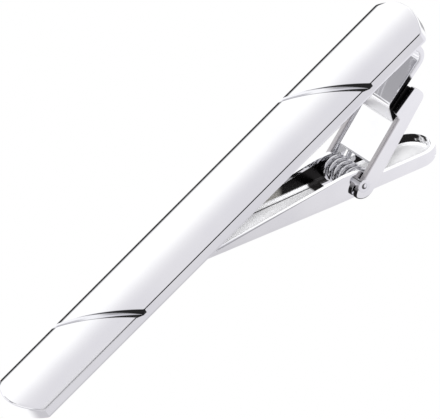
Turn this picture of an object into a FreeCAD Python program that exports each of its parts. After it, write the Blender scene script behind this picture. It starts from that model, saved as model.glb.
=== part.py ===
import FreeCAD, Part
import math
import os

# Tie clip with a sprung pinch clasp. Millimetres. The origin is the centre of the bar's flat back,
# +X runs along the bar to the clasp end and +Z points out of the bar's face.

# Front bar
bar_length = 58.0
bar_width = 7.75
bar_side_height = 1.33
bar_crown = 0.62          # rise of the domed face above its long edges
bar_end_bulge = 1.5       # how far the rounded ends stand out past the corners
groove_span = 33.0        # distance between the two grooves along the bar
groove_advance = 6.2      # how far a groove moves along the bar while it crosses it
groove_near_width = 1.24
groove_far_width = 0.7
groove_near_depth = 0.42
groove_far_depth = 0.2
groove_run_out = 1.0      # the cutter passes the bar's edges by this much
groove_lift = 0.6         # the cutter stands above the face by this much

# Bracket, one bent sheet
sheet = 0.6
strip_width = 5.3
pad_length = 7.0
bend_end_inset = 1.9      # from the bar's end to the outside of the U-bend
bend_inner_radius = 0.9
leg_slope = 16.0          # degrees, lower leg against the bar
knee_radius = 0.8
ramp_slope = 74.0         # degrees, steep step from the lower leg down to the web
ramp_foot = 7.2           # from the pivot to the ramp's foot, along the ears
web_stop = 2.2            # from the pivot to the web's end
web_height = 0.2          # web's top above the pivot line
ear_slope = 20.8          # degrees, ears and web against the bar
ear_reach = 11.2          # from the pivot to the ear's far end
ear_round = 1.45          # round end of the ear about the pivot
ear_low_edge = 1.1        # ear's lower edge below the pivot line at the far end
ear_high_edge = 0.5       # ear's upper edge above the pivot line
wing_start = 7.6          # from the pivot to where the upper edge steps up beside the ramp
wing_step = 0.5           # length of that step
wing_high_edge = 1.3      # upper edge above the pivot line after the step
wing_end_edge = 0.85      # and at the far end, so that it runs level with the lower leg
ear_corner = 0.75

# Pivot
pivot_inset = 15.35       # from the bar's end to the pivot
pivot_drop = 8.5          # below the bar's back
pin_radius = 0.55
pin_head_radius = 0.8
pin_head_height = 0.22
pin_fit = 0.02            # pin in the ears
lever_fit = 0.05          # lever on the pin
side_clearance = 0.15     # between lever and ears

# Jaw lever, a pressed channel
lever_width = 5.3
tip_width = 4.5           # the channel narrows to this at its tip
taper_start = 3.0         # from the pivot to where it begins to narrow
lever_slope = 26.0        # degrees, closed lever against the bar
lever_wall = 0.5
lever_floor = 0.5
pivot_height = 1.7        # pivot above the lever's underside
tip_gap = 0.1             # closed jaw to the bar's back
tail_reach = 10.8         # from the pivot to the tray's end
flange_height = 3.1
flange_front = 1.8        # level stretch of the flange in front of the pivot
flange_back = 0.2         # and behind it
flange_tip_inset = 2.0    # from the tip to where the flanges start
flange_tip_ramp = 2.0     # they come up to their low height over this length
flange_low_end = 4.2      # and rise from here in a straight line
flange_low_height = 0.9
rim_height = 1.75         # rim round the thumb tray
rim_start = 2.0           # where the flange has come down to the rim
inner_bend = 0.4
outer_bend = 0.45
window_clearance = 0.4    # round the coil in the lever's floor

# Torsion spring
wire = 0.4
coil_radius = 1.25        # to the middle of the wire
coil_full_turns = 2       # besides the part turn between the two legs
coil_end_clearance = 0.1
leg_seat_gap = 0.1        # between a leg's end and what it presses on
tray_leg_dip = 32.0       # degrees, leg pressing on the tray against the lever
web_leg_lift = 9.0        # degrees, leg pressing on the web against the web
least_gap_wanted = 0.4

# Worked out from the sizes above
pivot = FreeCAD.Vector(bar_length / 2 - pivot_inset, 0, -pivot_drop)
ear_inside = lever_width / 2 + side_clearance
ear_outside = ear_inside + sheet
lever_inside = lever_width / 2 - lever_wall
across = FreeCAD.Vector(0, 1, 0)


def turned(angle, length=1.0):
    # Vector of a length in the XZ plane, angle from +X towards +Z.
    a = math.radians(angle)
    return FreeCAD.Vector(length * math.cos(a), 0, length * math.sin(a))


def slab(wire_outline, half_width):
    # A closed outline in the XZ plane made into a solid that is centred on y = 0.
    face = Part.Face(wire_outline)
    face.translate(-half_width * across)
    return face.extrude(2 * half_width * across)


def cylinder_across(centre, radius, half_width):
    return Part.makeCylinder(radius, 2 * half_width, centre - half_width * across, across)


def line(a, b):
    return Part.LineSegment(a, b).toShape()


def arc(a, middle, b):
    return Part.Arc(a, middle, b).toShape()


def face_height(y):
    # Height of the domed face at a distance y from the bar's centre line.
    half = bar_width / 2
    radius = (half ** 2 + bar_crown ** 2) / (2 * bar_crown)
    inside = max(radius ** 2 - y ** 2, 0.0)
    return bar_side_height + bar_crown - radius + math.sqrt(inside)


def groove_cutter(middle_x):
    # V-shaped tool that follows the dome and gets narrower from the near edge to the far edge.
    half = bar_width / 2
    sections = []
    for y in (-half - groove_run_out, -half, -half / 2, 0.0, half / 2, half, half + groove_run_out):
        share = (y + half) / bar_width
        depth = groove_near_depth + (groove_far_depth - groove_near_depth) * share
        width = groove_near_width + (groove_far_width - groove_near_width) * share
        x = middle_x + groove_advance * (0.5 - share)
        level = face_height(y)
        half_top = width / 2 * (depth + groove_lift) / depth
        corners = [
            FreeCAD.Vector(x, y, level - depth),
            FreeCAD.Vector(x + half_top, y, level + groove_lift),
            FreeCAD.Vector(x - half_top, y, level + groove_lift),
        ]
        sections.append(Part.makePolygon(corners + corners[:1]))
    return Part.makeLoft(sections, True, True)


def front_bar():
    half = bar_width / 2
    end = bar_length / 2
    corner = end - bar_end_bulge
    crown = bar_side_height + bar_crown
    low_near = FreeCAD.Vector(-end, -half, 0)
    low_far = FreeCAD.Vector(-end, half, 0)
    high_near = FreeCAD.Vector(-end, -half, bar_side_height)
    high_far = FreeCAD.Vector(-end, half, bar_side_height)
    dome = arc(high_far, FreeCAD.Vector(-end, 0, crown), high_near)
    section = Part.Wire([line(low_near, low_far), line(low_far, high_far), dome, line(high_near, low_near)])
    blank = Part.Face(section).extrude(FreeCAD.Vector(bar_length, 0, 0))
    near_left = FreeCAD.Vector(-corner, -half, 0)
    near_right = FreeCAD.Vector(corner, -half, 0)
    far_right = FreeCAD.Vector(corner, half, 0)
    far_left = FreeCAD.Vector(-corner, half, 0)
    plan = Part.Wire([
        line(near_left, near_right),
        arc(near_right, FreeCAD.Vector(end, 0, 0), far_right),
        line(far_right, far_left),
        arc(far_left, FreeCAD.Vector(-end, 0, 0), near_left),
    ])
    bar = blank.common(Part.Face(plan).extrude(FreeCAD.Vector(0, 0, crown)))
    for side in (-1, 1):
        bar = bar.cut(groove_cutter(side * groove_span / 2))
    return bar


def bent_strip(start, heading, steps, thickness):
    # Outline of a sheet seen on edge. Each step is a straight run (length, 0) or a bend
    # (radius at mid-thickness, angle), with a positive angle turning to the left.
    left, right = [], []
    here = start
    for size, angle in steps:
        side = turned(heading + 90, thickness / 2)
        if angle == 0:
            there = here + turned(heading, size)
            left.append(line(here + side, there + side))
            right.append(line(here - side, there - side))
        else:
            sign = math.copysign(1, angle)
            centre = here + turned(heading + sign * 90, size)
            spokes = [turned(heading - sign * 90 + angle * share) for share in (0, 0.5, 1)]
            there = centre + spokes[2] * size
            inner = [centre + s * (size - thickness / 2) for s in spokes]
            outer = [centre + s * (size + thickness / 2) for s in spokes]
            left.append(arc(*(inner if sign > 0 else outer)))
            right.append(arc(*(outer if sign > 0 else inner)))
            heading += angle
        here = there
    cap_side = turned(heading + 90, thickness / 2)
    start_cap = line(left[0].Vertexes[0].Point, right[0].Vertexes[0].Point)
    end_cap = line(here + cap_side, here - cap_side)
    return Part.Wire(Part.__sortEdges__(left + right + [start_cap, end_cap]))


def ear_outline():
    # A link with a round end on the pivot, and a blunt end that steps up to a taller wing.
    along = turned(ear_slope)
    up = turned(ear_slope + 90)
    radius = ear_round
    low = ear_low_edge
    high = ear_high_edge
    c = ear_corner
    slack = c * (1 - math.sqrt(0.5))
    top_start = pivot - along * math.sqrt(radius ** 2 - high ** 2) + up * high
    round_end = pivot - along * radius
    low_start = pivot - up * radius
    low_stop = pivot + along * (ear_reach - c) - up * low
    end_low = pivot + along * ear_reach - up * (low - c)
    end_high = pivot + along * ear_reach + up * (wing_end_edge - c)
    wing_stop = pivot + along * (ear_reach - c) + up * wing_end_edge
    wing_top = pivot + along * (wing_start + wing_step) + up * wing_high_edge
    top_stop = pivot + along * wing_start + up * high
    low_mid = pivot + along * (ear_reach - slack) - up * (low - slack)
    high_mid = pivot + along * (ear_reach - slack) + up * (wing_end_edge - slack)
    return Part.Wire([
        arc(top_start, round_end, low_start),
        line(low_start, low_stop),
        arc(low_stop, low_mid, end_low),
        line(end_low, end_high),
        arc(end_high, high_mid, wing_stop),
        line(wing_stop, wing_top),
        line(wing_top, top_stop),
        line(top_stop, top_start),
    ])


def ears():
    # Two plates beside the lever, joined by the web.
    hole = cylinder_across(pivot, pin_radius + pin_fit, ear_outside + sheet)
    plates = []
    for side in (-1, 1):
        face = Part.Face(ear_outline())
        face.translate(side * ear_inside * across)
        plates.append(face.extrude(side * sheet * across).cut(hole))
    along = turned(ear_slope)
    up = turned(ear_slope + 90)
    corners = [
        pivot + along * a + up * (web_height - drop)
        for a, drop in ((web_stop, 0), (ramp_foot, 0), (ramp_foot, sheet), (web_stop, sheet))
    ]
    web = slab(Part.makePolygon(corners + corners[:1]), ear_inside + sheet / 2)
    return web.fuse(plates)


def corner_share(turn):
    # Length that a knee takes from each of the two straight runs that it joins.
    return knee_radius * math.tan(math.radians(turn) / 2)


def bracket():
    bend = bend_inner_radius + sheet / 2
    bend_x = bar_length / 2 - bend_end_inset - bend - sheet / 2
    bend_stop = FreeCAD.Vector(bend_x, 0, -sheet / 2 - bend) + turned(leg_slope - 90, bend)
    foot = pivot + turned(ear_slope, ramp_foot) + turned(ear_slope + 90, web_height - sheet / 2)
    # The upper knee is where the lower leg's line meets the ramp's line.
    across_ramp = turned(ramp_slope + 90)
    leg_run = (foot - bend_stop).dot(across_ramp) / turned(leg_slope + 180).dot(across_ramp)
    knee = bend_stop + turned(leg_slope + 180, leg_run)
    upper_turn = ramp_slope - leg_slope
    lower_turn = ramp_slope - ear_slope
    steps = [
        (pad_length, 0),
        (bend, leg_slope - 180),
        (leg_run - corner_share(upper_turn), 0),
        (knee_radius, upper_turn),
        ((knee - foot).Length - corner_share(upper_turn) - corner_share(lower_turn), 0),
        (knee_radius, -lower_turn),
        (ramp_foot - web_stop - corner_share(lower_turn), 0),
    ]
    start = FreeCAD.Vector(bend_x - pad_length, 0, -sheet / 2)
    strip = slab(bent_strip(start, 0, steps, sheet), strip_width / 2)
    return strip.fuse(ears()).removeSplitter()


def pivot_rivet():
    shank = cylinder_across(pivot, pin_radius, ear_outside)
    rivet = shank
    for side in (-1, 1):
        foot = pivot + across * (side * ear_outside)
        head = Part.makeCylinder(pin_head_radius, pin_head_height, foot, across * side)
        rim = [e for e in head.Edges if abs(abs(e.CenterOfMass.y) - ear_outside - pin_head_height) < 1e-6]
        rivet = rivet.fuse(head.makeFillet(pin_head_height * 0.8, rim))
    return rivet.removeSplitter()


def tip_reach():
    # Distance from the pivot to the tip that brings the floor's upper face up to the bar's back.
    a = math.radians(lever_slope)
    return (pivot_drop - tip_gap + (pivot_height - lever_floor) * math.cos(a)) / math.sin(a)


def channel_plan(inset, level):
    # Plan of the lever in its own frame, with a round tail and a narrower square tip. The hollow is
    # drawn in from the sides and the tail by the inset, and runs out past the tip by it.
    half = lever_width / 2 - inset
    tip = -tip_reach() - inset
    tip_half = tip_width / 2 - inset
    tail = tail_reach - inset
    near = [(tip, -tip_half), (-taper_start, -half), (tail - half, -half)]
    points = [FreeCAD.Vector(u, y, level) for u, y in near]
    mirrored = [FreeCAD.Vector(u, -y, level) for u, y in near]
    return Part.Face(Part.Wire([
        line(points[0], points[1]),
        line(points[1], points[2]),
        arc(points[2], FreeCAD.Vector(tail, 0, level), mirrored[2]),
        line(mirrored[2], mirrored[1]),
        line(mirrored[1], mirrored[0]),
        line(mirrored[0], points[0]),
    ]))


def lever_side(tip):
    # Side outline of the channel in its own frame.
    corners = [
        (tip, 0), (tail_reach, 0), (tail_reach, rim_height), (rim_start, rim_height),
        (flange_back, flange_height), (-flange_front, flange_height),
        (tip + flange_low_end, flange_low_height),
        (tip + flange_tip_inset + flange_tip_ramp, flange_low_height),
        (tip + flange_tip_inset, lever_floor), (tip, lever_floor),
    ]
    points = [FreeCAD.Vector(u, 0, v) for u, v in corners]
    return slab(Part.makePolygon(points + points[:1]), lever_width)


def bottom_edges(solid, level, tip):
    # The edges round a channel's bottom, without the one across its tip.
    edges = [e for e in solid.Edges if all(abs(v.Point.z - level) < 1e-6 for v in e.Vertexes)]
    return [e for e in edges if abs(e.CenterOfMass.x - tip) > 1e-6]


def jaw_lever():
    tip = -tip_reach()
    rise = FreeCAD.Vector(0, 0, flange_height)
    blank = channel_plan(0, 0).extrude(rise)
    blank = blank.makeFillet(outer_bend, bottom_edges(blank, 0, tip))
    hollow = channel_plan(lever_wall, lever_floor).extrude(rise)
    hollow = hollow.makeFillet(inner_bend, bottom_edges(hollow, lever_floor, tip - lever_wall))
    window = coil_radius + wire / 2 + window_clearance
    opening = Part.makeBox(2 * window, 2 * lever_inside, flange_height)
    opening.translate(FreeCAD.Vector(-window, -lever_inside, -lever_floor))
    lever = blank.common(lever_side(tip)).cut(hollow).cut(opening)
    axle = FreeCAD.Vector(0, 0, pivot_height)
    lever = lever.cut(cylinder_across(axle, pin_radius + lever_fit, lever_width))
    lever.translate(FreeCAD.Vector(0, 0, -pivot_height))
    lever.rotate(FreeCAD.Vector(0, 0, 0), across, lever_slope)
    lever.translate(pivot)
    return lever


def biarc(p0, t0, p1, t1):
    # Two arcs that leave p0 along t0, meet smoothly and arrive at p1 along t1.
    chord = p1 - p0
    total = t0 + t1
    spread = 2 * (1 - t0.dot(t1))
    reach = (-chord.dot(total) + math.sqrt(chord.dot(total) ** 2 + spread * chord.dot(chord))) / spread
    q0 = p0 + t0 * reach
    q1 = p1 - t1 * reach
    joint = (q0 + q1) * 0.5
    edges = []
    for a, q, b in ((p0, q0, joint), (joint, q1, p1)):
        middle = (a + b) * 0.5
        cosine = (b - a).Length / (2 * reach)
        edges.append(arc(a, middle + (q - middle) * (cosine / (1 + cosine)), b))
    return edges


def spring_stations():
    # Quarter-turn stations of the coil: place and direction, level with the legs at both ends.
    first = 90 - lever_slope - tray_leg_dip
    last = ear_slope + web_leg_lift - 90 + 360 * (coil_full_turns + 1)
    quarters = math.ceil((last - first) / 90)
    end = lever_inside - coil_end_clearance - wire / 2
    stations = []
    for k in range(quarters + 1):
        share = k / quarters
        angle = first + (last - first) * share
        # The two end quarters climb half as much as the others.
        climb = min(max((k - 0.5) / (quarters - 1), 0), 1)
        slope = 0 if k in (0, quarters) else 2 * end / (quarters - 1)
        place = pivot + turned(angle, coil_radius) + across * (-end + 2 * end * climb)
        arc_length = math.radians((last - first) / quarters) * coil_radius
        direction = turned(angle + 90) * arc_length + across * slope
        stations.append((place, direction.normalize()))
    return stations


def tray_leg():
    # Length that brings the leg's end down to the tray's floor.
    dip = math.radians(tray_leg_dip)
    drop = coil_radius * math.cos(dip) + pivot_height - lever_floor - wire / 2 - leg_seat_gap
    return drop / math.sin(dip)


def web_leg():
    # Length that brings the leg's end up to the web's underside.
    lift = math.radians(web_leg_lift)
    rise = coil_radius * math.cos(lift) + web_height - sheet - wire / 2 - leg_seat_gap
    return rise / math.sin(lift)


def torsion_spring():
    stations = spring_stations()
    edges = []
    for (p0, t0), (p1, t1) in zip(stations, stations[1:]):
        edges += biarc(p0, t0, p1, t1)
    first_place, first_way = stations[0]
    last_place, last_way = stations[-1]
    tray_end = first_place - first_way * tray_leg()
    web_end = last_place + last_way * web_leg()
    edges = [line(tray_end, first_place)] + edges + [line(last_place, web_end)]
    path = Part.Wire(edges)
    section = Part.Wire([Part.Circle(tray_end, first_way, wire / 2).toShape()])
    sweep = Part.BRepOffsetAPI.MakePipeShell(path)
    sweep.add(section)
    sweep.build()
    sweep.makeSolid()
    spring = sweep.shape()
    report_spring(spring, path)
    return spring


def report_spring(spring, path):
    # Least gap of the wire to itself, on points, and the volume against section times length.
    points = path.discretize(Distance=wire / 4)
    step = path.Length / (len(points) - 1)
    apart = int(math.pi * wire / step)
    least = min(
        (points[i] - points[j]).Length
        for i in range(len(points))
        for j in range(i + apart, len(points))
    )
    expected = math.pi * wire ** 2 / 4 * path.Length
    print("spring least gap %.3f mm, wanted over %.1f" % (least - wire, least_gap_wanted))
    print("spring volume %.4f of expected %.4f, length %.2f" % (spring.Volume, expected, path.Length))


os.makedirs("parts", exist_ok=True)
nodes = {
    "front_bar": front_bar(),
    "bracket": bracket(),
    "pivot_rivet": pivot_rivet(),
    "jaw_lever": jaw_lever(),
    "torsion_spring": torsion_spring(),
}
for name, shape in nodes.items():
    shape.exportStep("parts/%s.step" % name)
    print(name, "valid", shape.isValid(), "solids", len(shape.Solids), "volume %.2f" % shape.Volume)
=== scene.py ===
import math
import bmesh
import bpy
import numpy as np
from mathutils import Matrix, Vector


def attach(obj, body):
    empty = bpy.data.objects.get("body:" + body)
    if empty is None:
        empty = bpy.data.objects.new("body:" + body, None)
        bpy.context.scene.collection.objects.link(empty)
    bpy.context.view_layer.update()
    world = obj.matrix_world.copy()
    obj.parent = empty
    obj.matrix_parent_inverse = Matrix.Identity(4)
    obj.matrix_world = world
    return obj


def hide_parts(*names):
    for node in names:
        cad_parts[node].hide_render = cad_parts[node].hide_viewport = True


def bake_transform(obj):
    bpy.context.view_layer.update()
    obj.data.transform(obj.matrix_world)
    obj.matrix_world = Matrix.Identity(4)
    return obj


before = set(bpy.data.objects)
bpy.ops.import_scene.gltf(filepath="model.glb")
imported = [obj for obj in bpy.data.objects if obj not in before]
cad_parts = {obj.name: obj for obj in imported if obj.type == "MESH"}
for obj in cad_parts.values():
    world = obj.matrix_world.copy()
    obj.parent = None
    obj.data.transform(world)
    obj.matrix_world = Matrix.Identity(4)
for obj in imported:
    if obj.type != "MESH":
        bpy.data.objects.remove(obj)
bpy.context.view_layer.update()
mm = 0.001
xWay, yWay, zWay = np.eye(3)
scene = bpy.context.scene
scene.view_settings.view_transform = "Standard"
print("frame loaded:", ", ".join(sorted(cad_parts)))


def gridQuads(rows, cols, closed=False, keep=None):
    # quads of a rows x cols grid of points, each as four point numbers
    # closed joins the last column to the first
    a, b = np.meshgrid(np.arange(rows - 1), np.arange(cols if closed else cols - 1), indexing="ij")
    nextA, nextB = a + 1, (b + 1) % cols
    quads = np.stack([a * cols + b, nextA * cols + b, nextA * cols + nextB, a * cols + nextB], -1)
    return quads[keep] if keep is not None else quads.reshape(-1, 4)


def putMesh(name, points, faces, material, sharp=30, weld=1e-7, uv=None):
    # points in millimetres to a mesh object at the origin, normals outwards; weld is in metres
    mesh = bpy.data.meshes.new(name)
    corners = faces if isinstance(faces, list) else faces.tolist()
    mesh.from_pydata((points.reshape(-1, 3) * mm).tolist(), [], corners)
    if uv is not None:
        layer = mesh.uv_layers.new(name="along")
        loops = np.empty(len(mesh.loops), np.int32)
        mesh.loops.foreach_get("vertex_index", loops)
        layer.data.foreach_set("uv", uv.reshape(-1, 2)[loops].ravel().astype(np.float32))
    bm = bmesh.new()
    bm.from_mesh(mesh)
    bmesh.ops.remove_doubles(bm, verts=bm.verts, dist=weld)
    bmesh.ops.dissolve_degenerate(bm, edges=bm.edges, dist=weld)
    bmesh.ops.recalc_face_normals(bm, faces=bm.faces)
    bm.to_mesh(mesh)
    bm.free()
    mesh.polygons.foreach_set("use_smooth", np.ones(len(mesh.polygons), bool))
    mesh.set_sharp_from_angle(angle=math.radians(sharp))
    mesh.materials.append(material)
    piece = bpy.data.objects.new(name, mesh)
    scene.collection.objects.link(piece)
    return piece


cutEdge = dict(segments=3, leastTurn=40)        # how a sheet's cut edges are softened


def thicken(piece, thickness, rounding):
    # a sheet's middle surface gets its thickness and softened cut edges
    shell = piece.modifiers.new("thickness", "SOLIDIFY")
    shell.thickness = thickness * mm
    shell.offset = 0
    shell.use_even_offset = True
    edge = piece.modifiers.new("softEdge", "BEVEL")
    edge.width = rounding * mm
    edge.segments = cutEdge["segments"]
    edge.limit_method = "ANGLE"
    edge.angle_limit = math.radians(cutEdge["leastTurn"])
    return flatFaced(piece)


def flatFaced(piece):
    # the broad faces stay flat, and the shading turns only in the softened edges
    flat = piece.modifiers.new("flatFaces", "WEIGHTED_NORMAL")
    flat.keep_sharp = False
    return piece


def direction(angle):
    # unit vector in the XZ plane, degrees from +X towards +Z
    a = np.radians(angle)
    return np.stack([np.cos(a), np.zeros_like(a), np.sin(a)], -1)


def between(start, end, share):
    # the value this share of the way from start to end
    return start + (end - start) * share


def eased(t):
    # 0 to 1 with a level start and a level end
    return t * t * (3 - 2 * t)


def arcRadius(half, rise):
    # radius of the arc that rises this much over a chord of twice the half
    return (half ** 2 + rise ** 2) / (2 * rise)


class Sock:
    # an output socket that can be added, multiplied and so on
    mixA, mixB, mixResult = 6, 7, 2             # the Mix node's sockets for colours

    def __init__(self, tree, out):
        self.tree, self.out = tree, out

    @classmethod
    def make(cls, tree, kind, settings=None, inputs=None, output=0):
        # a new node: its settings, then the values or links of its sockets
        node = tree.nodes.new(kind)
        for key, value in (settings or {}).items():
            setattr(node, key, value)
        for key, value in (inputs or {}).items():
            if isinstance(value, Sock):
                tree.links.new(value.out, node.inputs[key])
            else:
                node.inputs[key].default_value = value
        return cls(tree, node.outputs[output])

    def math(self, operation, a, b=0.0):
        return Sock.make(self.tree, "ShaderNodeMath", {"operation": operation}, {0: a, 1: b})

    def __add__(self, other):
        return self.math("ADD", self, other)

    def __radd__(self, other):
        return self.math("ADD", other, self)

    def __sub__(self, other):
        return self.math("SUBTRACT", self, other)

    def __rsub__(self, other):
        return self.math("SUBTRACT", other, self)

    def __mul__(self, other):
        return self.math("MULTIPLY", self, other)

    def __rmul__(self, other):
        return self.math("MULTIPLY", other, self)

    def __truediv__(self, other):
        return self.math("DIVIDE", self, other)

    def __rtruediv__(self, other):
        return self.math("DIVIDE", other, self)

    def __abs__(self):
        return self.math("ABSOLUTE", self)

    def atLeast(self, other):
        return self.math("MAXIMUM", self, other)

    def atMost(self, other):
        return self.math("MINIMUM", self, other)

    def step(self, low, high):
        # smooth 0 to 1 while the value goes from low to high
        return Sock.make(self.tree, "ShaderNodeMapRange", {"interpolation_type": "SMOOTHSTEP"},
                         {"Value": self, "From Min": low, "From Max": high})

    def mix(self, a, b):
        # colour a where this is 0, colour b where it is 1
        a, b = [colour if isinstance(colour, Sock) else (*colour, 1.0) for colour in (a, b)]
        return Sock.make(self.tree, "ShaderNodeMix", {"data_type": "RGBA"},
                         {"Factor": self, self.mixA: a, self.mixB: b}, self.mixResult)


def noise(coords, scale, detail, stretch=None):
    # soft clouds, about 0 to 1
    if stretch:
        coords = Sock.make(coords.tree, "ShaderNodeMapping", None, {"Vector": coords, "Scale": stretch})
    return Sock.make(coords.tree, "ShaderNodeTexNoise", None,
                     {"Vector": coords, "Scale": scale, "Detail": detail})


def measure(coords, way, origin=(0.0, 0.0, 0.0)):
    # distance in millimetres from a point, along a direction
    dot = Sock.make(coords.tree, "ShaderNodeVectorMath", {"operation": "DOT_PRODUCT"},
                    {0: coords, 1: tuple(float(v) / mm for v in way)}, "Value")
    return dot - float(np.dot(way, origin))


def window(value, low, high, soft):
    # 1 between low and high, fading over soft
    return value.step(low - soft, low) * (1 - value.step(high, high + soft))


plating = dict(cloudDetail=4.0, cloudSteps=(0.3, 0.75), markDetail=2.0, markSteps=(0.55, 0.75))


def platedMetal(name, look, stains=()):
    # bright plating: a little cloud in colour and roughness, fine marks in the bump, and dull places
    # a stain is a function that makes its mask, and a dictionary with its colour and roughness
    material = bpy.data.materials.new(name)
    material.use_nodes = True
    tree = material.node_tree
    shader = tree.nodes["Principled BSDF"]
    shader.inputs["Metallic"].default_value = 1.0
    coords = Sock.make(tree, "ShaderNodeTexCoord", None, None, look.get("coords", "Object"))
    cloud = noise(coords, look["cloudScale"], plating["cloudDetail"])
    marks = noise(coords, look["markScale"], plating["markDetail"], look["markStretch"])
    tint = cloud.step(*plating["cloudSteps"]).mix(look["colour"], look["cloudColour"])
    rough = look["rough"] + look["cloudRough"] * cloud + look["markRough"] * marks.step(*plating["markSteps"])
    for makeMask, stain in stains:
        mask = makeMask(coords)
        tint = mask.mix(tint, stain["colour"])
        rough = rough + mask * (stain["rough"] - rough)
        if stain.get("milky"):
            tree.links.new((1 - mask).out, shader.inputs["Metallic"])
    bump = Sock.make(tree, "ShaderNodeBump", None,
                     {"Height": marks, "Strength": look["bump"], "Distance": look["bumpDepth"] * mm})
    for key, value in (("Base Color", tint), ("Roughness", rough), ("Normal", bump)):
        tree.links.new(value.out, shader.inputs[key])
    return material


# the front bar: lengths in millimetres, a step is (low, high), a window is (low, high, fade)
bar = dict(length=58.0, width=7.75, side=1.33, crown=0.62, bulge=1.5, edge=0.16, backEdge=0.15, endEdge=0.2,
           span=33.0, advance=6.2, nearWidth=1.24, farWidth=0.7, nearDepth=0.42, farDepth=0.2,
           nearLean=0.3, farLean=0.8,
           faceFade=0.1,                                # the face's stains fade out over this much below it
           # painted shade: the grey line along each groove's lower edge
           lowerEdgeShade=dict(colour=(0.34, 0.34, 0.35), rough=0.2), lowerEdgeShadeAcross=(0.0, 0.09, 0.05),
           shade=dict(colour=(0.03, 0.03, 0.03), rough=0.3), shadeLength=0.72,
           shadeEdge=(-0.03, 0.02), shadeStop=(0.0, 0.04),
           mouthStart=0.02, mouthFade=0.03, mouthBelow=(-0.1, -0.06), mouthIn=(0.08, 0.16),
           worn=dict(colour=(0.93, 0.93, 0.945), rough=0.42),
           wornRun=(-27.0, -5.0), wornIn=(0.3, 0.45), wornAbove=(1.1, 1.2),
           look=dict(colour=(0.93, 0.93, 0.945), cloudColour=(0.89, 0.89, 0.915),
                     rough=0.035, cloudRough=0.03, markRough=0.02, cloudScale=160.0,
                     markScale=900.0, markStretch=(0.12, 1.0, 1.0), bump=0.02, bumpDepth=0.02),
           grid=dict(back=25, foot=6, side=8, edge=16, dome=81, runs=(40, 10, 8, 90, 10, 8, 40),
                     cap=9, capEdge=7))
grooveMiddles = (-bar["span"] / 2, bar["span"] / 2)


def acrossShare(y):
    # 0 at the bar's near side, 1 at its far side
    return y / bar["width"] + 0.5


def endWall(b, y):
    # x of the bulging end wall, an arc in plan
    endR = arcRadius(b["width"] / 2, b["bulge"])
    return b["length"] / 2 - endR + np.sqrt(endR ** 2 - y ** 2)


def barSection(b):
    # closed section: flat back, two upright sides, fillets, and a dome that is one arc
    half, edge, foot = b["width"] / 2, b["edge"], b["backEdge"]
    domeR = arcRadius(half, b["crown"])
    low = b["side"] + b["crown"] - domeR
    lift = low + math.sqrt((domeR - edge) ** 2 - (half - edge) ** 2)
    reach = math.asin((half - edge) / (domeR - edge))
    back = np.linspace(half - foot, -half + foot, b["grid"]["back"])
    t = np.radians(np.linspace(-90, -180, b["grid"]["foot"]))
    nearFoot = np.stack([-half + foot + foot * np.cos(t), foot + foot * np.sin(t)], -1)
    sideUp = np.linspace(foot, lift, b["grid"]["side"])
    t = np.linspace(math.pi, math.pi / 2 + reach, b["grid"]["edge"])
    nearEdge = np.stack([-half + edge + edge * np.cos(t), lift + edge * np.sin(t)], -1)
    t = np.linspace(-reach, reach, b["grid"]["dome"])
    dome = np.stack([domeR * np.sin(t), low + domeR * np.cos(t)], -1)
    left = np.concatenate([nearFoot, np.stack([0 * sideUp - half, sideUp], -1)[1:-1], nearEdge])
    right = left[::-1] * [-1, 1]
    return np.concatenate([np.stack([back, 0 * back], -1), left[1:], dome[1:-1], right[:-1]])


def stationLines(b, y):
    # x of each line across the bar from its left end to its right, with the share of groove depth on it
    share = acrossShare(y)
    slant = b["advance"] * (0.5 - share)
    halfCut = 0.5 * between(b["nearWidth"], b["farWidth"], share)
    lean = between(b["nearLean"], b["farLean"], share)
    wall = endWall(b, y) - b["endEdge"]
    lines = [(-wall, 0.0)]
    for middle in grooveMiddles:
        lines += [(middle + slant - halfCut, 0.0), (middle + slant + lean * halfCut, 1.0),
                  (middle + slant + halfCut, 0.0)]
    return lines + [(wall, 0.0)]


def barBody(b, y, z):
    # straight runs from each station line to the next, the dome lowered by the V grooves
    lines = stationLines(b, y)
    xs, cuts = [], []
    for (x0, cut0), (x1, cut1), count in zip(lines, lines[1:], b["grid"]["runs"]):
        s = np.linspace(0, 1, count, endpoint=False)[:, None]
        xs.append(between(x0, x1, s))
        cuts.append(between(cut0, cut1, s) + 0 * x0)
    x = np.concatenate(xs + [lines[-1][0][None]])
    cut = np.concatenate(cuts + [0 * y[None]])
    depth = between(b["nearDepth"], b["farDepth"], acrossShare(y))
    domeR = arcRadius(b["width"] / 2, b["crown"])
    domeZ = b["side"] + b["crown"] - domeR + np.sqrt(domeR ** 2 - y ** 2)
    return np.stack([x, y + 0 * x, np.minimum(z, domeZ - depth * cut)], -1)


def barCap(b, y, z):
    # right end, from its middle outwards: the curved wall, then a quarter round out to the full section
    half, midZ, r = b["width"] / 2, b["side"] / 2, b["endEdge"]
    t = np.radians(np.linspace(90, 0, b["grid"]["capEdge"])[:-1])[:, None]
    away, inset = r * (1 - np.sin(t)), r * (1 - np.cos(t))
    fill = np.linspace(0, 1, b["grid"]["cap"])[:-1, None]
    capY = y * np.concatenate([fill * (1 - r / half), 1 - inset / half])
    capZ = midZ + (z - midZ) * np.concatenate([fill * (1 - r / midZ), 1 - inset / midZ])
    capX = endWall(b, capY) - np.concatenate([0 * fill, away])
    return np.stack([capX, capY, capZ], -1)


def frontBar(b):
    # the section carried along x, closed over both ends
    y, z = barSection(b).T
    cap = barCap(b, y, z)
    points = np.concatenate([cap * [-1, 1, 1], barBody(b, y, z), cap[::-1]])
    return points, gridQuads(len(points), len(y), closed=True)


def grooveAcross(coords, middle):
    # distance in from the lower edge of the groove about this middle
    share = acrossShare(measure(coords, yWay))
    halfCut = 0.5 * between(bar["nearWidth"], bar["farWidth"], share)
    return measure(coords, xWay) - middle + bar["advance"] * (share - 0.5) + halfCut


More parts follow.
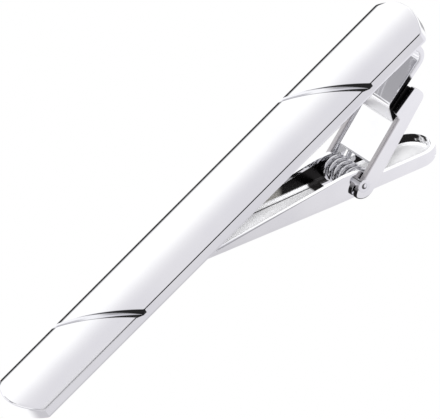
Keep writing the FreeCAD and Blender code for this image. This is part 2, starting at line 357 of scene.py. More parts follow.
def grooveLowerShade(coords):
    # painted shade: a thin grey line along the lower edge of each groove
    z = measure(coords, zWay)
    left, right = [window(grooveAcross(coords, middle), *bar["lowerEdgeShadeAcross"]) for middle in grooveMiddles]
    return (left + right) * z.step(bar["side"] - bar["faceFade"], bar["side"])


def grooveMouth(coords):
    # painted shade: a dark line where the bar's near edge dips into the open end of each groove
    nearIn = measure(coords, yWay) + bar["width"] / 2
    z = measure(coords, zWay)
    wide, split = bar["nearWidth"], 0.5 * (1 + bar["nearLean"]) * bar["nearWidth"]
    lines = 0.0
    for middle in grooveMiddles:
        across = grooveAcross(coords, middle)
        cut = (across / split).atMost((wide - across) / (wide - split))
        above = z - bar["side"] + bar["nearDepth"] * cut
        opening = window(across, bar["mouthStart"], wide, bar["mouthFade"])
        lines = lines + opening * above.step(*bar["mouthBelow"])
    return lines * (1 - nearIn.step(*bar["mouthIn"]))


def grooveShade(coords):
    # the groove's steep face, dark in a wedge that thins to a point along the upper edge
    share = acrossShare(measure(coords, yWay))
    z = measure(coords, zWay)
    wide = between(bar["nearWidth"], bar["farWidth"], share)
    split = 0.5 * wide * (1 + between(bar["nearLean"], bar["farLean"], share))
    faces = 0.0
    for middle in grooveMiddles:
        across = grooveAcross(coords, middle)
        wedge = across - split - (wide - split) * share / bar["shadeLength"]
        faces = faces + wedge.step(*bar["shadeEdge"]) * (wide - across).step(*bar["shadeStop"])
    deepest = bar["side"] - bar["nearDepth"]
    return faces * z.step(deepest - bar["faceFade"], deepest)


def wornEdge(coords):
    # the near edge is duller towards the left end
    nearIn = measure(coords, yWay) + bar["width"] / 2
    leftEnd = 1 - measure(coords, xWay).step(*bar["wornRun"])
    return leftEnd * (1 - nearIn.step(*bar["wornIn"])) * measure(coords, zWay).step(*bar["wornAbove"])


mirrorPlate = platedMetal("mirrorPlate", bar["look"], [
    (wornEdge, bar["worn"]), (grooveLowerShade, bar["lowerEdgeShade"]),
    (grooveShade, bar["shade"]), (grooveMouth, bar["shade"])])
barPiece = putMesh("barShell", *frontBar(bar), mirrorPlate, sharp=14)
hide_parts("front_bar")
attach(barPiece, "clip")
print("bar made")


# the bracket: bent strip, two ears with wings, and dark strips of painted shadow between the wings and the
# leg
# lengths in millimetres, slopes in degrees, rimFade in square millimetres
# a step is (low, high), a window is (low, high, fade)
clasp = dict(pivot=(13.65, 0.0, -8.5), sheet=0.6, pad=7.0, bendInset=1.9, bendInner=0.9, legSlope=16.0,
             knee=0.4, rampSlope=74.0, rampFoot=7.2, webStop=2.2, webHeight=0.2, softEdge=0.11,
             stripHalf=2.65, widenRise=1.2, widenReach=1.0, lap=0.05,
             earSlope=20.8, earReach=11.2, earRound=1.45, earLow=1.1, earHigh=0.5, earCorner=0.75,
             earInside=2.8,
             wingStart=7.6, wingStep=0.5, wingHigh=1.3, wingEnd=0.85, wingCorner=0.4,
             seamStart=8.0, seamEnd=11.0, seamTop=1.5, seamFall=0.084, seamLow=0.6,
             sheared=dict(colour=(0.66, 0.64, 0.65), rough=0.5), shearBelow=(-0.24, -0.16),
             shearStart=-0.6, shearFade=0.15,
             wingShadow=dict(colour=(0.014, 0.013, 0.014), rough=0.4), wingBelow=(-0.24, -0.14),
             wingFrom=(0.2, 0.4),
             shadow=dict(colour=(0.014, 0.013, 0.014), rough=0.35),
             rimWide=0.14, rimFade=0.15, rimStop=(-0.9, -0.3),
             legEdge=(-0.1, -0.03), legRun=(20.2, 24.2, 0.3), legTop=(-2.4, -2.2),
             dull=dict(colour=(0.95, 0.95, 0.96), rough=0.3), dullRun=(7.0, 8.6, 0.15),
             dullRise=(0.1, 1.6, 0.1),
             look=dict(colour=(0.95, 0.95, 0.96), cloudColour=(0.89, 0.89, 0.91),
                       rough=0.04, cloudRough=0.05, markRough=0.03, cloudScale=220.0,
                       markScale=700.0, markStretch=(0.25, 1.0, 0.6), bump=0.04, bumpDepth=0.03),
             # painted shadow: the look of the dark strips between the wings and the leg
             seamShadow=dict(colour=(0.014, 0.013, 0.014), cloudColour=(0.035, 0.033, 0.032),
                        rough=0.4, cloudRough=0.2, markRough=0.1, cloudScale=900.0,
                        markScale=1500.0, markStretch=(1.0, 1.0, 1.0), bump=0.3, bumpDepth=0.02),
             grid=dict(straight=14, arc=22, across=15, earRound=56, corner=12, wingStep=14,
                       softEdge=5, seam=12))
pivot = np.array(clasp["pivot"])


def bentPath(start, heading, steps):
    # straight runs (length, 0) and arcs (radius, turn) joined end to end, in the XZ plane
    here, path = np.array(start, float), []
    for size, turn in steps:
        if turn == 0:
            s = np.linspace(0, 1, clasp["grid"]["straight"])[:, None]
            path.append(here + direction(heading) * size * s)
        else:
            side = math.copysign(90, turn)
            centre = here + direction(heading + side) * size
            s = np.linspace(0, 1, clasp["grid"]["arc"])
            path.append(centre + direction(heading - side + turn * s) * size)
            heading += turn
        here = path[-1][-1]
    return np.concatenate([path[0]] + [p[1:] for p in path[1:]])


def bracketStrip(c):
    # the path of the bent sheet, carried straight across
    bend = c["bendInner"] + c["sheet"] / 2
    bendX = bar["length"] / 2 - c["bendInset"] - bend - c["sheet"] / 2
    bendStop = np.array([bendX, 0, -c["sheet"] / 2 - bend]) + direction(c["legSlope"] - 90) * bend
    along, up = direction(c["earSlope"]), direction(c["earSlope"] + 90)
    webMiddle = c["webHeight"] - c["sheet"] / 2
    foot = pivot + along * c["rampFoot"] + up * webMiddle
    normal = direction(c["rampSlope"] + 90)
    legRun = (foot - bendStop) @ normal / (direction(c["legSlope"] + 180) @ normal)
    knee = bendStop + direction(c["legSlope"] + 180) * legRun
    upper, lower = c["rampSlope"] - c["legSlope"], c["rampSlope"] - c["earSlope"]
    take = [c["knee"] * math.tan(math.radians(a) / 2) for a in (upper, lower)]
    steps = [(c["pad"], 0), (bend, c["legSlope"] - 180), (legRun - take[0], 0), (c["knee"], upper),
             (np.linalg.norm(knee - foot) - sum(take), 0), (c["knee"], -lower),
             (c["rampFoot"] - take[1] - c["webStop"], 0)]
    path = bentPath((bendX - c["pad"], 0, -c["sheet"] / 2), 0, steps)
    # the strip widens to the ears as it comes down the step
    onWeb = (path - pivot) @ along < c["rampFoot"] + c["widenReach"]
    low = np.clip(1 - ((path - pivot) @ up - webMiddle) / c["widenRise"], 0, 1) * onWeb
    half = between(c["stripHalf"], c["earInside"] + c["lap"], eased(low))
    y = np.linspace(-1, 1, c["grid"]["across"])[None] * half[:, None]
    return path[:, None] + y[..., None] * yWay, gridQuads(*y.shape)


def earOutline(c):
    # closed line in (along the ear, above the pivot line)
    # round end, lower edge, blunt end, wing, step, upper edge
    big, reach, lowR, highR = c["earRound"], c["earReach"], c["earCorner"], c["wingCorner"]
    t = np.linspace(math.pi / 2, 1.5 * math.pi, c["grid"]["earRound"])
    roundEnd = np.stack([big * np.cos(t), np.where(t < math.pi, c["earHigh"], big) * np.sin(t)], -1)
    t = np.linspace(-math.pi / 2, 0, c["grid"]["corner"])
    lowCorner = np.stack([reach - lowR + lowR * np.cos(t), lowR - c["earLow"] + lowR * np.sin(t)], -1)
    t = np.linspace(0, math.pi / 2, c["grid"]["corner"])
    highCorner = np.stack([reach - highR + highR * np.cos(t), c["wingEnd"] - highR + highR * np.sin(t)], -1)
    t = np.linspace(1, 0, c["grid"]["wingStep"])
    step = np.stack([c["wingStart"] + c["wingStep"] * t, between(c["earHigh"], c["wingHigh"], eased(t))], -1)
    return np.concatenate([roundEnd, lowCorner, highCorner, step])


def outlinePlates(c, line, inside, sheet):
    # an outline carried through the sheet on both sides, drawn in a little at both faces for the soft edge
    way = np.roll(line, -1, 0) - line
    way /= np.linalg.norm(way, axis=1)[:, None]
    way = way + np.roll(way, 1, 0)
    way /= np.linalg.norm(way, axis=1)[:, None]
    inward = np.stack([-way[:, 1], way[:, 0]], -1)
    t = np.linspace(0, math.pi / 2, c["grid"]["softEdge"])
    soft = min(c["softEdge"], sheet / 3)
    inset, deep = soft * (1 - np.sin(t)), soft * (1 - np.cos(t))
    inset = np.concatenate([inset, inset[::-1]])
    y = inside + np.concatenate([deep, sheet - deep[::-1]])
    ring = line + inset[:, None, None] * inward
    plate = pivot + ring[..., :1] * direction(c["earSlope"]) + ring[..., 1:] * direction(c["earSlope"] + 90)
    out = y[:, None, None] * yWay
    points = np.concatenate([(plate + out).reshape(-1, 3), (plate - out).reshape(-1, 3)])
    count, rings = len(line), len(y)
    caps = [list(range(count)), list(range((rings - 1) * count, rings * count))]
    shell = gridQuads(rings, count, closed=True).tolist() + caps
    return points, shell + [[i + rings * count for i in face] for face in shell]


def seamOutline(c):
    # painted shadow: a dark strip that closes the gap between the wing and the leg, from the wing to the
    # leg's middle
    a = np.linspace(c["seamStart"], c["seamEnd"], c["grid"]["seam"])
    top = c["seamTop"] - c["seamFall"] * (a - c["seamStart"])
    low = np.stack([a, 0 * a + c["seamLow"]], -1)
    return np.concatenate([low, np.stack([a, top], -1)[::-1]])


def earPlaces(coords):
    # along the ear from the pivot, and above the pivot line
    return [measure(coords, direction(clasp["earSlope"] + turn), pivot) for turn in (0, 90)]


def shearedTop(coords):
    # the ear's upper cut edge, below the step
    a, h = earPlaces(coords)
    run = window(a, clasp["shearStart"], clasp["wingStart"], clasp["shearFade"])
    return (h - clasp["earHigh"]).step(*clasp["shearBelow"]) * run


def wingTop(coords):
    # painted shadow on the wing's upper cut edge, close under the lower leg
    a, h = earPlaces(coords)
    wing = clasp["wingStart"] + clasp["wingStep"]
    fall = (clasp["wingHigh"] - clasp["wingEnd"]) / (clasp["earReach"] - wing)
    edge = h - clasp["wingHigh"] + fall * (a - wing)
    return edge.step(*clasp["wingBelow"]) * (a - clasp["wingStart"]).step(*clasp["wingFrom"])


def roundRim(coords):
    # painted shadow on the cut edge round the pivot end, close against the lever's flange
    a, h = earPlaces(coords)
    far = (clasp["earRound"] - clasp["rimWide"]) ** 2
    h = (h * (clasp["earRound"] / clasp["earHigh"])).atLeast(h)         # the round is flatter above the pivot
    return (a * a + h * h).step(far, far + clasp["rimFade"]) * (1 - a.step(*clasp["rimStop"]))


def legBesideWing(coords):
    # painted shadow on the lower leg's cut edges where the wings stand close beside them
    edge = (abs(measure(coords, yWay)) - clasp["stripHalf"]).step(*clasp["legEdge"])
    below = 1 - measure(coords, zWay).step(*clasp["legTop"])
    return edge * window(measure(coords, xWay), *clasp["legRun"]) * below


def dullStep(coords):
    # the step down to the web, too narrow for the polishing wheel
    a, h = earPlaces(coords)
    return window(a, *clasp["dullRun"]) * window(h, *clasp["dullRise"])


# painted shadow: the dark strips between the wings and the leg
seamShadowDark = platedMetal("seamShadowDark", clasp["seamShadow"])
stripPlate = platedMetal("stripPlate", clasp["look"], [
    (dullStep, clasp["dull"]), (legBesideWing, clasp["shadow"])])
earPlate = platedMetal("earPlate", clasp["look"], [
    (shearedTop, clasp["sheared"]), (wingTop, clasp["wingShadow"]), (roundRim, clasp["shadow"])])
stripSheet = putMesh("bracketStrip", *bracketStrip(clasp), stripPlate)
stripPiece = thicken(stripSheet, clasp["sheet"], clasp["softEdge"])
earShape = outlinePlates(clasp, earOutline(clasp), clasp["earInside"], clasp["sheet"])
earPiece = flatFaced(putMesh("bracketEars", *earShape, earPlate))
seamInside, seamOutside = clasp["stripHalf"] - clasp["lap"], clasp["earInside"] + clasp["lap"]
seamShape = outlinePlates(clasp, seamOutline(clasp), seamInside, seamOutside - seamInside)
seamPiece = flatFaced(putMesh("seamShadows", *seamShape, seamShadowDark))
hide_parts("bracket")
for piece in (stripPiece, earPiece, seamPiece):
    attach(piece, "clip")
print("bracket made")


# the lever: places along it are millimetres from the pivot, heights are above its underside
# slope in degrees, trayFade in square millimetres, a step is (low, high), a window is (low, high, fade)
lever = dict(slope=26.0, width=5.3, tipWidth=4.5, taper=3.0, wall=0.5, pivotHeight=1.7, tipGap=0.1, tail=10.8,
             bend=0.5, softEdge=0.1, flange=3.1, front=1.8, back=0.2, tipInset=2.0, tipRamp=2.2, tipLip=0.05,
             lowEnd=4.2, lowHeight=0.9, rim=1.75, rimStart=2.0, leastLip=0.02, window=1.85,
             # the grey and black colours below are painted shade inside the channel
             flangeGreyShade=dict(colour=(0.42, 0.41, 0.38), rough=0.3), flangeGreyShadeRun=(-9.5, 0.4, 1.5),
             flangeDarkShade=dict(colour=(0.02, 0.019, 0.019), rough=0.25), flangeDarkShadeRun=(-6.2, 0.4, 0.9),
             flangeRise=(0.75, 0.95), flangeBelow=(0.4, 0.5), flangeFace=(-0.06, 0.06, 0.05),
             trayWallShade=dict(colour=(0.02, 0.019, 0.019), rough=0.3), trayWallShadeRun=(3.0, 10.1, 0.3),
             trayDeep=0.08, trayFade=0.2, trayLow=0.7, trayTop=0.06,
             patchSize=2.4, patchScale=1400.0, patchDetail=3.0,
             satin=dict(colour=(0.96, 0.96, 0.97), rough=0.4, milky=True), floorLayer=(0.38, 0.77, 0.04),
             floorEdge=(0.0, 0.05),
             paintedShade=dict(colour=(0.02, 0.019, 0.019), rough=0.4),
             gapRun=(-3.0, 0.0, 0.35), gapLayer=(0.3, 0.85, 0.05),
             creaseRun=(-15.5, -3.4, 0.8), creaseSide=(-0.42, -0.3, 0.06), creaseLayer=(0.3, 0.7, 0.05),
             grid=dict(run=120, tailRound=41, floor=8, bend=10, wall=8))
insideHalf = lever["width"] / 2 - lever["wall"]


def leverTip(v):
    # where the tip is along the lever, just short of the bar's back
    slope = math.radians(v["slope"])
    return -(-pivot[2] - v["tipGap"] + (v["pivotHeight"] - v["wall"]) * math.cos(slope)) / math.sin(slope)


def leverDraw(v):
    # how much each side draws in per millimetre towards the tip
    return (v["width"] - v["tipWidth"]) / 2 / (-v["taper"] - leverTip(v))


def rimHeights(v, wallU):
    # height of the lever's edge: a lip near the tip, the flange sloping up to the pivot, the tray's low rim
    tip = leverTip(v)
    lip = tip + v["tipInset"]
    places = [lip, lip + v["tipRamp"], tip + v["lowEnd"], -v["front"], v["back"], v["rimStart"]]
    heights = [v["wall"] + v["tipLip"], v["lowHeight"], v["lowHeight"], v["flange"], v["flange"], v["rim"]]
    return np.interp(wallU, places, heights)


def jawLever(v):
    # rays from the floor's middle line out to the wall's foot, round the bend and up to the rim
    half, r, middle = (v["width"] - v["wall"]) / 2, v["bend"], v["wall"] / 2
    shoulder = v["tail"] - v["width"] / 2
    run = np.linspace(leverTip(v), shoulder, v["grid"]["run"])
    run = np.unique(np.concatenate([run, [-v["window"], v["window"]]]))
    turn = np.linspace(-90, 90, v["grid"]["tailRound"])[1:-1]
    spineU = np.concatenate([run, 0 * turn + shoulder, run[::-1]])
    spread = np.concatenate([0 * run - 90, turn, 0 * run + 90])
    outU, outY = np.cos(np.radians(spread)), np.sin(np.radians(spread))
    rim = rimHeights(v, spineU + half * outU)
    half = half - leverDraw(v) * np.maximum(-v["taper"] - spineU, 0)[:, None]       # narrower towards the tip
    # section: distance out from the middle line and height above the underside
    flat = np.linspace(0, 1, v["grid"]["floor"])[:-1] * (half - r)
    bendT = np.radians(np.linspace(-90, 0, v["grid"]["bend"]))
    lip = np.maximum(rim - middle - r, v["leastLip"])
    up = np.linspace(0, 1, v["grid"]["wall"])[1:]
    out = np.concatenate([flat, half - r + r * np.cos(bendT), half + 0 * up], 1)
    height = np.concatenate([0 * flat, 0 * half + r + r * np.sin(bendT), r + lip[:, None] * up], 1) + middle
    u = spineU[:, None] + outU[:, None] * out
    y = outY[:, None] * out
    w = height - v["pivotHeight"]
    along, over = direction(-v["slope"]), direction(90 - v["slope"])
    points = pivot + u[..., None] * along + y[..., None] * yWay + w[..., None] * over
    # no floor where the coil dips through
    centreU = 0.5 * (spineU[1:] + spineU[:-1])
    inWindow = (np.abs(centreU) < v["window"])[:, None] & (np.arange(out.shape[1] - 1) < flat.shape[1])
    return points, gridQuads(*out.shape, keep=~inWindow)


def leverPlaces(coords):
    # along the lever, above its underside, and out past the flanges' inner faces with the taper taken off
    u = measure(coords, direction(-lever["slope"]), pivot)
    h = measure(coords, direction(90 - lever["slope"]), pivot) + lever["pivotHeight"]
    drawnIn = leverDraw(lever) * (-lever["taper"] - u).atLeast(0.0)
    return u, h, abs(measure(coords, yWay)) + drawnIn - insideHalf


def insideFlanges(coords, run):
    # painted shade on the flanges' inner faces above the bend, over a stretch along the lever
    u, h, past = leverPlaces(coords)
    slant = (lever["flange"] - lever["lowHeight"]) / (-lever["front"] - leverTip(lever) - lever["lowEnd"])
    top = lever["flange"] + slant * (u + lever["front"]).atMost(0.0)
    band = h.step(*lever["flangeRise"]) * (top - h).step(*lever["flangeBelow"])   # bright again along the top
    return window(u, *run) * band * window(past, *lever["flangeFace"])


# grey painted shade on the flanges' inner faces
def greyShadedFlanges(coords):
    return insideFlanges(coords, lever["flangeGreyShadeRun"])


# black painted shade on the flanges' inner faces, nearer the pivot
def darkShadedFlanges(coords):
    return insideFlanges(coords, lever["flangeDarkShadeRun"])


def shadedTrayWalls(coords):
    # painted shade on the tray's walls inside, dark in patches from the ears' ends to the round of the tail
    u, h, past = leverPlaces(coords)
    tailU = (u - (lever["tail"] - lever["width"] / 2)).atLeast(0.0)
    reach = tailU * tailU + (past + insideHalf) * (past + insideHalf)
    near, far = [(insideHalf + deep) ** 2 for deep in (-lever["trayDeep"], lever["trayDeep"])]
    walls = window(reach, near, far, lever["trayFade"])
    walls = walls * window(h, lever["trayLow"], lever["rim"] - lever["trayTop"], lever["trayTop"])
    patchy = noise(coords, lever["patchScale"], lever["patchDetail"]) - 0.5
    return window(u + lever["patchSize"] * patchy, *lever["trayWallShadeRun"]) * walls


def milkyFloor(coords):
    # the channel's floor and bends inside, which the polishing wheel doesn't reach
    h, past = leverPlaces(coords)[1:]
    return window(h, *lever["floorLayer"]) * (1 - past.step(*lever["floorEdge"]))


def shadyGap(coords):
    # painted shade on the floor's end in front of the coil
    u, h, past = leverPlaces(coords)
    return window(u, *lever["gapRun"]) * window(h, *lever["gapLayer"]) * (1 - past.step(*lever["floorEdge"]))


def darkCrease(coords):
    # painted shade where the floor turns up into the flanges
    u, h, past = leverPlaces(coords)
    line = window(past, *lever["creaseSide"]) * window(h, *lever["creaseLayer"])
    return line * window(u, *lever["creaseRun"])


leverPlate = platedMetal("leverPlate", clasp["look"], [
    (greyShadedFlanges, lever["flangeGreyShade"]), (darkShadedFlanges, lever["flangeDarkShade"]), (shadedTrayWalls, lever["trayWallShade"]),
    (milkyFloor, lever["satin"]), (shadyGap, lever["paintedShade"]), (darkCrease, lever["paintedShade"])])
leverPiece = thicken(putMesh("leverShell", *jawLever(lever), leverPlate), lever["wall"], lever["softEdge"])
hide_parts("jaw_lever")
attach(leverPiece, "lever")
print("lever made")


# the rivet: glint is a place in the hole that stays bright, as x and z from its middle
# lengths in millimetres, glintEdge in square millimetres
rivet = dict(shank=0.55, head=0.72, headHeight=0.08, headFlat=0.4, earOutside=3.4, hole=0.3, well=0.05,
             # painted shadow in the hole
             paintedShade=dict(colour=(0.12, 0.118, 0.118), rough=0.3), holeShadeEdge=(-0.04, 0.06),
             glint=(0.16, -0.08), glintEdge=(0.04, 0.08),
             look=dict(colour=(0.92, 0.92, 0.94), cloudColour=(0.84, 0.84, 0.87),
                       rough=0.06, cloudRough=0.06, markRough=0.05, cloudScale=500.0,
                       markScale=1500.0, markStretch=(1.0, 0.5, 1.0), bump=0.08, bumpDepth=0.02),
             grid=dict(roll=24, well=6, round=64))


def pivotRivet(v):
    # profile turned about the pivot: a rolled eyelet head at each end of a plain shank
    outside, hole = v["earOutside"], v["hole"]
    t = np.linspace(math.pi, 0, v["grid"]["roll"])
    middle, roll = (v["head"] + hole) / 2, (v["head"] - hole) / 2
    well = np.linspace(0, 1, v["grid"]["well"])[:-1]
    headR = np.concatenate([hole * well, middle + roll * np.cos(t)])
    rise = v["headHeight"] * np.abs(np.sin(t)) ** v["headFlat"]
    headY = outside + np.concatenate([0 * well + v["well"], rise])
    radius = np.concatenate([headR, [v["shank"], v["shank"]], headR[::-1]])
    y = np.concatenate([headY, [outside, -outside], -headY[::-1]])
    angle = np.linspace(0, 360, v["grid"]["round"], endpoint=False)
    points = pivot + radius[:, None, None] * direction(angle) + y[:, None, None] * yWay
    return points, gridQuads(len(y), len(angle), closed=True)


def rivetWell(coords):
    # painted shadow in the eyelet's hole, apart from the glint
    a, h = measure(coords, xWay, pivot), measure(coords, zWay, pivot)
    inner, outer = [(rivet["hole"] + edge) ** 2 for edge in rivet["holeShadeEdge"]]
    hole = 1 - (a * a + h * h).step(inner, outer)
    a, h = a - rivet["glint"][0], h - rivet["glint"][1]
    return hole * (a * a + h * h).step(*rivet["glintEdge"])


rivetPlate = platedMetal("rivetPlate", rivet["look"], [(rivetWell, rivet["paintedShade"])])
rivetPiece = putMesh("rivetTurned", *pivotRivet(rivet), rivetPlate, sharp=40)
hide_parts("pivot_rivet")
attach(rivetPiece, "clip")
print("rivet made")


# the spring: turns are the full ones besides the part turn; dip and lift are its legs' angles in degrees
spring = dict(wire=0.5, radius=1.25, turns=4, end=1.8, dip=32.0, lift=9.0, seat=0.1,
              levelShare=0.06, uvLength=4.0,
              look=dict(coords="UV", colour=(0.80, 0.80, 0.82), cloudColour=(0.66, 0.66, 0.69),
                        rough=0.12, cloudRough=0.08, markRough=0.08, cloudScale=9.0,
                        markScale=60.0, markStretch=(0.06, 1.0, 1.0), bump=0.10, bumpDepth=0.02),
              grid=dict(coil=420, leg=24, tip=6, round=16))


def legReach(v, angle, surface):
    # length of a leg that leaves the coil at this angle and stops on a surface this far from the pivot
    angle = math.radians(angle)
    return (v["radius"] * math.cos(angle) + surface - v["wire"] / 2 - v["seat"]) / math.sin(angle)


def springLine(v):
    # tray leg, coil about the pivot with level ends, web leg
    first = 90 - lever["slope"] - v["dip"]
    last = clasp["earSlope"] + v["lift"] - 90 + 360 * (v["turns"] + 1)
    t = np.linspace(0, 1, v["grid"]["coil"])
    climb = np.minimum(1, np.minimum(t, 1 - t) / v["levelShare"])
    climb = np.concatenate([[0], np.cumsum(0.5 * (climb[1:] + climb[:-1]))])
    y = v["end"] * (2 * climb / climb[-1] - 1)
    coil = pivot + direction(between(first, last, t)) * v["radius"] + y[:, None] * yWay
    s = np.linspace(1, 0, v["grid"]["leg"])[:-1, None]
    trayReach = legReach(v, v["dip"], lever["pivotHeight"] - lever["wall"])
    webReach = legReach(v, v["lift"], clasp["webHeight"] - clasp["sheet"])
    trayLeg = coil[0] - direction(first + 90) * trayReach * s
    webLeg = coil[-1] + direction(last + 90) * webReach * s[::-1]
    return np.concatenate([trayLeg, coil, webLeg])


def springTube(v):
    # round section carried along the line, with rounded wire ends
    line = springLine(v)
    way = np.gradient(line, axis=0)
    way /= np.linalg.norm(way, axis=1)[:, None]
    out = np.cross(yWay, way)
    out /= np.linalg.norm(out, axis=1)[:, None]
    side = np.cross(way, out)
    r = v["wire"] / 2
    t = np.radians(np.linspace(90, 0, v["grid"]["tip"])[:-1])
    size = np.concatenate([r * np.cos(t), np.full(len(line), r), r * np.cos(t)[::-1]])
    push = np.concatenate([-r * np.sin(t), np.zeros(len(line)), r * np.sin(t)[::-1]])
    pick = np.concatenate([np.zeros(len(t), int), np.arange(len(line)), np.full(len(t), len(line) - 1)])
    core = line[pick] + way[pick] * push[:, None]
    a = np.linspace(0, 2 * math.pi, v["grid"]["round"], endpoint=False)
    ring = np.cos(a)[:, None] * out[pick][:, None] + np.sin(a)[:, None] * side[pick][:, None]
    points = core[:, None] + size[:, None, None] * ring
    lengthAlong = np.concatenate([[0], np.cumsum(np.linalg.norm(np.diff(core, axis=0), axis=1))])
    uv = np.stack(np.broadcast_arrays(lengthAlong[:, None] / v["uvLength"], a[None] / (2 * math.pi)), -1)
    return points, gridQuads(len(core), len(a), closed=True), uv


springSteel = platedMetal("springSteel", spring["look"])
springPoints, springQuads, springUv = springTube(spring)
springPiece = putMesh("springWound", springPoints, springQuads, springSteel, sharp=60, weld=1e-9, uv=springUv)
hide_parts("torsion_spring")
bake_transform(springPiece)
print("spring made")


# the studio: places on the floor in millimetres, places in the room as parts of a unit direction
# endStart is a step of x squared; a step is (low, high), a window is (low, high, fade)
studio = dict(seenWhite=(1.0, 1.0, 1.0), fill=(0.8, 0.8, 0.8),
              floorDrop=15.2, floorHalf=600.0, floorWhite=(1.1, 1.1, 1.1), floorFront=(0.745, 0.735, 0.765),
              # the floor's grey patch behind the clasp is a painted shadow
              floorLeft=(0.63, 0.62, 0.645), floorRight=(0.88, 0.87, 0.91), floorShadow=(0.44, 0.435, 0.45),
              leftToRight=(-8.0, 30.0), frontEnd=(-20.5, -19.0),
              whiteStart=(-2.0, 8.0), whiteEnd=(24.0, 32.0),
              floorShadowX=(15.0, 40.0, 3.0), floorShadowY=(10.0, 26.0, 3.0),
              skyWhite=(1.12, 1.12, 1.12), zenith=(0.80, 0.79, 0.82), zenithStart=(0.64, 0.92),
              frontLow=(0.66, 0.655, 0.68), frontHigh=(0.40, 0.395, 0.41), frontRise=(0.1, 0.8),
              frontStop=(-0.22, -0.05), endStart=(0.6, 0.8),
              blackCard=(0.02, 0.02, 0.02), frontCard=(0.13, 0.28, 0.05),
              backCard=(0.16, 0.25, 0.04), backCardStart=(0.8, 0.9), backCardTop=(0.17, 0.23),
              greyCard=(0.40, 0.395, 0.41), greyY=(0.55, 0.85, 0.05), greyLow=(0.3, 0.35),
              greyLeft=(-0.66, -0.42, 0.04), greyRight=(-0.24, -0.06, 0.03),
              lampSize=80.0, lampFar=300.0, lampPower=0.75,
              lampAim=(8.0, 0.0, -5.0), lampWay=(-0.2, -0.70, 0.69))


def lightPath(tree):
    # 1 for what the camera sees directly, and 1 for that and mirror reflections
    seen, mirrored = [Sock.make(tree, "ShaderNodeLightPath", None, None, ray)
                      for ray in ("Is Camera Ray", "Is Glossy Ray")]
    return seen, seen.atLeast(mirrored)


def makeFloor(s):
    # plain pale floor: white to the camera, shades of lavender and a painted shadow in the metal, and matt to
    # other light
    material = bpy.data.materials.new("paleFloor")
    material.use_nodes = True
    tree = material.node_tree
    tree.nodes.clear()
    seen, shown = lightPath(tree)
    coords = Sock.make(tree, "ShaderNodeTexCoord", None, None, "Object")
    x, y = measure(coords, xWay), measure(coords, yWay)
    shade = x.step(*s["leftToRight"]).mix(s["floorLeft"], s["floorRight"])  # lighter towards the clasp end
    shade = y.step(*s["frontEnd"]).mix(s["floorFront"], shade)
    shade = y.step(*s["whiteStart"]).mix(shade, s["floorWhite"])
    shade = y.step(*s["whiteEnd"]).mix(shade, s["floorRight"])              # lavender again far behind
    # painted shadow: a grey patch on the floor behind the clasp, seen in the metal
    patch = window(x, *s["floorShadowX"]) * window(y, *s["floorShadowY"])
    shade = patch.mix(shade, s["floorShadow"])                               # a grey patch behind the clasp
    colour = seen.mix(shade, s["seenWhite"])
    glow = Sock.make(tree, "ShaderNodeEmission", None, {"Color": colour, "Strength": 1.0})
    matt = Sock.make(tree, "ShaderNodeBsdfDiffuse", None, {"Color": (*s["fill"], 1.0)})
    both = Sock.make(tree, "ShaderNodeMixShader", None, {0: shown, 1: matt, 2: glow})
    tree.links.new(both.out, tree.nodes.new("ShaderNodeOutputMaterial").inputs["Surface"])
    corners = np.array([[-1, -1, 0], [1, -1, 0], [1, 1, 0], [-1, 1, 0]]) * s["floorHalf"]
    floor = putMesh("floor", corners - s["floorDrop"] * zWay, np.array([[0, 1, 2, 3]]), material)


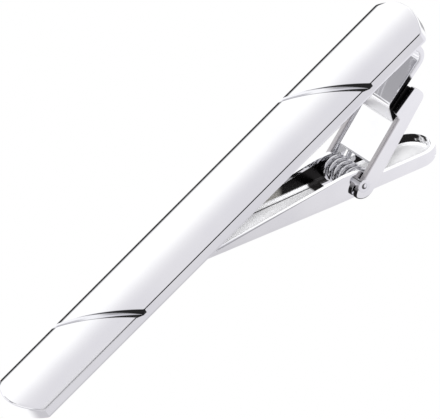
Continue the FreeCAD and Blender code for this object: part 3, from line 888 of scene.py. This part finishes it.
def makeWorld(s):
    # white room for the metal, greyer overhead, in front and at both ends, with a few cards
    # pure white to the camera, and a plain even light for everything else
    world = bpy.data.worlds.new("whiteRoom")
    scene.world = world
    world.use_nodes = True
    tree = world.node_tree
    tree.nodes.clear()
    seen, shown = lightPath(tree)
    way = Sock.make(tree, "ShaderNodeTexCoord", None, None, "Generated")
    x, y, z = [Sock.make(tree, "ShaderNodeSeparateXYZ", None, {0: way}, axis) for axis in "XYZ"]
    sky = z.step(*s["zenithStart"]).mix(s["skyWhite"], s["zenith"])
    front = 1 - y.step(*s["frontStop"])
    grey = z.step(*s["frontRise"]).mix(s["frontLow"], s["frontHigh"])
    sky = front.mix(sky, grey)                                              # grey behind the camera
    sky = (front * window(x, *s["frontCard"])).mix(sky, s["blackCard"])     # narrow black card there
    sky = (x * x).step(*s["endStart"]).mix(sky, s["frontLow"])              # grey at both ends of the bar
    backCard = window(x, *s["backCard"]) * y.step(*s["backCardStart"]) * (1 - z.step(*s["backCardTop"]))
    sky = backCard.mix(sky, s["blackCard"])                                 # black card behind the bar
    greyCards = window(x, *s["greyRight"]) + window(x, *s["greyLeft"])
    greyCards = window(y, *s["greyY"]) * z.step(*s["greyLow"]) * greyCards
    sky = greyCards.mix(sky, s["greyCard"])                                 # grey cards over the clasp
    plain = shown.mix(s["fill"], seen.mix(sky, s["seenWhite"]))
    back = Sock.make(tree, "ShaderNodeBackground", None, {"Color": plain, "Strength": 1.0})
    tree.links.new(back.out, tree.nodes.new("ShaderNodeOutputWorld").inputs["Surface"])


def makeLamp(s):
    # one soft lamp over the photographer's shoulder fills the dull places; the plating mirrors only the room
    data = bpy.data.lights.new("softFill", "AREA")
    data.shape = "DISK"
    data.size = s["lampSize"] * mm
    data.energy = s["lampPower"]
    lamp = bpy.data.objects.new("softFill", data)
    lamp.visible_glossy = False
    away = Vector(s["lampWay"]).normalized()
    place = (Vector(s["lampAim"]) + away * s["lampFar"]) * mm
    lamp.matrix_world = Matrix.Translation(place) @ away.to_track_quat("Z", "Y").to_matrix().to_4x4()
    scene.collection.objects.link(lamp)


# the photo's view: two unit directions, aim in millimetres, frame width in pixels, distances in metres
view = dict(ahead=(0.2033, 0.7160, -0.6678), up=(0.6923, 0.3772, 0.6152), aim=(0.5037, -0.7472, 0.8162),
            framePixels=440, pixelsPerMm=9.897, far=0.3, clipStart=0.005, clipEnd=5.0)


def makeCamera(v):
    # the bar's long edges stay parallel in the photo, so the view has no perspective
    data = bpy.data.cameras.new("photoView")
    data.type = "ORTHO"
    data.ortho_scale = v["framePixels"] / v["pixelsPerMm"] * mm
    data.clip_start, data.clip_end = v["clipStart"], v["clipEnd"]
    camera = bpy.data.objects.new("photoView", data)
    scene.collection.objects.link(camera)
    ahead, up = Vector(v["ahead"]), Vector(v["up"])
    turn = Matrix((ahead.cross(up), up, -ahead)).transposed()
    camera.matrix_world = Matrix.Translation(Vector(v["aim"]) * mm - ahead * v["far"]) @ turn.to_4x4()
    scene.camera = camera


makeFloor(studio)
makeWorld(studio)
makeLamp(studio)
makeCamera(view)
print("studio made")
